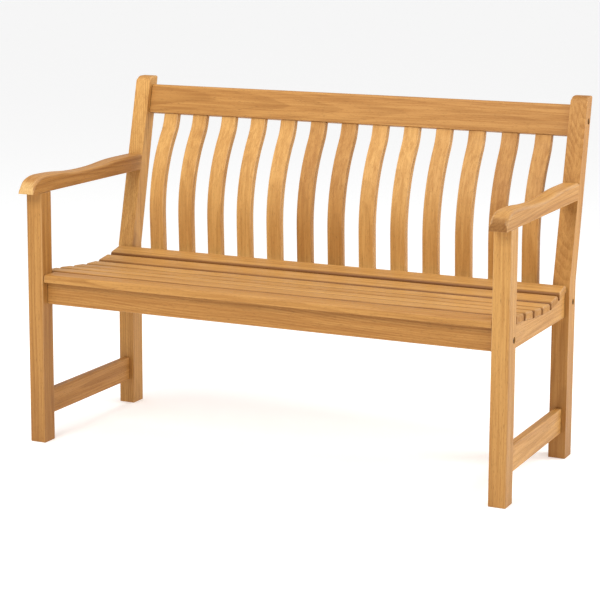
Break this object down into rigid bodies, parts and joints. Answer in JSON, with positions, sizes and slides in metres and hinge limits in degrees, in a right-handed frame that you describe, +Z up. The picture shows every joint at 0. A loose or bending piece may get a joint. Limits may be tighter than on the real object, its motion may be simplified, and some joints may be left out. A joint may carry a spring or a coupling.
{
  "type": "garden bench",
  "caption": "Slatted hardwood garden bench with arms: scooped seat, back of bowed upright slats, side frames joined by bolted rails.",
  "frame": {"origin": "on the ground, in the middle of the bench's length and of its depth from arm nose to back", "axes": "+X along the bench, to the right of someone facing it; +Y from the front to the back; +Z up"},
  "size_m": [1.3, 0.6402, 0.909],
  "materials": {
    "frame_wood": "lightly oiled, honey-coloured hardwood, fine straight grain",
    "slat_wood": "lightly oiled, honey-coloured hardwood, planed, rounded edges",
    "fixings": "plain zinc-plated steel, set below the wood"
  },
  "bodies": {
    "root": {"arm_left": "frame_wood", "arm_right": "frame_wood", "front_leg_left": "frame_wood", "front_leg_right": "frame_wood", "back_leg_left": "frame_wood", "back_leg_right": "frame_wood", "side_seat_rail_left": "frame_wood", "side_seat_rail_right": "frame_wood", "low_stretcher_left": "frame_wood", "low_stretcher_right": "frame_wood", "centre_seat_bearer": "frame_wood", "front_seat_rail": "frame_wood", "back_slat_01": "slat_wood", "back_slat_02": "slat_wood", "back_slat_03": "slat_wood", "back_slat_04": "slat_wood", "back_slat_05": "slat_wood", "back_slat_06": "slat_wood", "back_slat_07": "slat_wood", "back_slat_08": "slat_wood", "back_slat_09": "slat_wood", "back_slat_10": "slat_wood", "back_slat_11": "slat_wood", "back_slat_12": "slat_wood", "back_slat_13": "slat_wood", "rear_seat_rail": "frame_wood", "top_rail": "frame_wood", "seat_slat_1": "slat_wood", "seat_slat_2": "slat_wood", "seat_slat_3": "slat_wood", "seat_slat_4": "slat_wood", "seat_slat_5": "slat_wood", "seat_slat_6": "slat_wood", "seat_slat_7": "slat_wood", "front_rail_bolt_left": "fixings", "front_barrel_nut_left": "fixings", "front_rail_bolt_right": "fixings", "front_barrel_nut_right": "fixings", "rear_rail_bolt_left": "fixings", "rear_barrel_nut_left": "fixings", "rear_rail_bolt_right": "fixings", "rear_barrel_nut_right": "fixings", "top_rail_bolt_left": "fixings", "top_barrel_nut_left": "fixings", "top_rail_bolt_right": "fixings", "top_barrel_nut_right": "fixings", "slat_screw_1_left": "fixings", "slat_screw_1_right": "fixings", "slat_screw_2_left": "fixings", "slat_screw_2_right": "fixings", "slat_screw_3_left": "fixings", "slat_screw_3_right": "fixings", "slat_screw_4_left": "fixings", "slat_screw_4_right": "fixings", "slat_screw_5_left": "fixings", "slat_screw_5_right": "fixings", "slat_screw_6_left": "fixings", "slat_screw_6_right": "fixings", "slat_screw_7_left": "fixings", "slat_screw_7_right": "fixings"}
  },
  "joints": []
}
